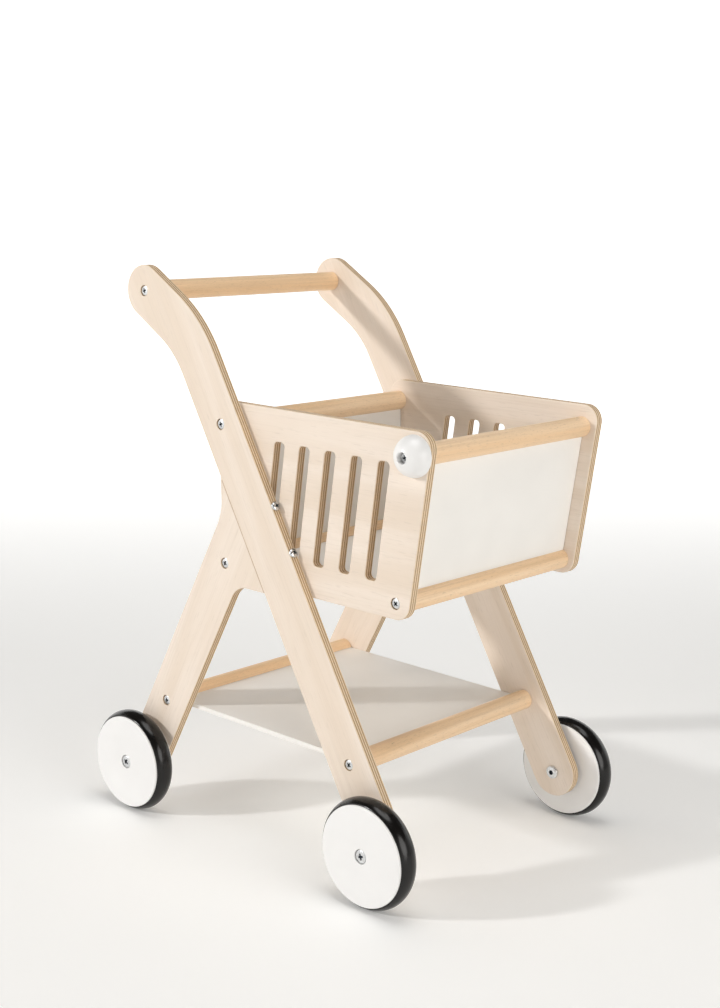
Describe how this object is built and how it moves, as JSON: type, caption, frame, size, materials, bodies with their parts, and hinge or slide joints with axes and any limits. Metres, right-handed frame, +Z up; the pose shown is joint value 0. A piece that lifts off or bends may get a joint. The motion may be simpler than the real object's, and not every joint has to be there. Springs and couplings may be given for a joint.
{
  "type": "toy shopping cart",
  "caption": "Child's wooden shopping cart: bent plywood legs, slotted basket sides, white panels and a lower shelf on round rails, four free-turning rubber-tyred wheels.",
  "frame": {"origin": "on the floor, under the middle of the cart's overall box", "axes": "+X forward, from the handle towards the front panel; +Y to the pusher's left; +Z up"},
  "size_m": [0.413, 0.314, 0.534],
  "materials": {
    "birch_plywood": "satin",
    "beech_rail": "satin",
    "white_board": "satin",
    "white_lacquer": "satin",
    "black_rubber": "satin",
    "zinc_steel": "satin",
    "brass": "satin",
    "nylon": "matte"
  },
  "bodies": {
    "frame": {"right_handle_leg": "birch_plywood", "left_handle_leg": "birch_plywood", "right_rear_leg": "birch_plywood", "left_rear_leg": "birch_plywood", "right_basket_side": "birch_plywood", "left_basket_side": "birch_plywood", "basket_front_panel": "white_board", "basket_back_panel": "white_board", "basket_floor": "white_board", "lower_shelf": "white_board", "handle_bar": "beech_rail", "basket_front_top_rail": "beech_rail", "basket_front_bottom_rail": "beech_rail", "basket_back_top_rail": "beech_rail", "basket_back_bottom_rail": "beech_rail", "front_stretcher": "beech_rail", "rear_stretcher": "beech_rail", "bag_knob": "white_lacquer", "knob_screw": "zinc_steel", "short_frame_bolts": "zinc_steel", "long_frame_bolts": "zinc_steel", "rail_insert_nuts": "brass", "leg_joint_screws": "zinc_steel", "axle_bolts": "zinc_steel", "axle_spacers": "nylon", "axle_cap_nuts": "zinc_steel"},
    "front_right_wheel": {"front_right_wheel_disc": "white_lacquer", "front_right_tyre": "black_rubber", "front_right_wheel_bush": "nylon"},
    "front_left_wheel": {"front_left_wheel_disc": "white_lacquer", "front_left_tyre": "black_rubber", "front_left_wheel_bush": "nylon"},
    "rear_right_wheel": {"rear_right_wheel_disc": "white_lacquer", "rear_right_tyre": "black_rubber", "rear_right_wheel_bush": "nylon"},
    "rear_left_wheel": {"rear_left_wheel_disc": "white_lacquer", "rear_left_tyre": "black_rubber", "rear_left_wheel_bush": "nylon"}
  },
  "joints": [
    {"name": "front_right_wheel_spin", "type": "hinge", "parent": "frame", "child": "front_right_wheel", "pos_m": [0.1565, -0.147, 0.05], "axis": [0, 1, 0], "continuous": true},
    {"name": "front_left_wheel_spin", "type": "hinge", "parent": "frame", "child": "front_left_wheel", "pos_m": [0.1565, 0.147, 0.05], "axis": [0, 1, 0], "continuous": true},
    {"name": "rear_right_wheel_spin", "type": "hinge", "parent": "frame", "child": "rear_right_wheel", "pos_m": [-0.1565, -0.147, 0.05], "axis": [0, 1, 0], "continuous": true},
    {"name": "rear_left_wheel_spin", "type": "hinge", "parent": "frame", "child": "rear_left_wheel", "pos_m": [-0.1565, 0.147, 0.05], "axis": [0, 1, 0], "continuous": true}
  ]
}
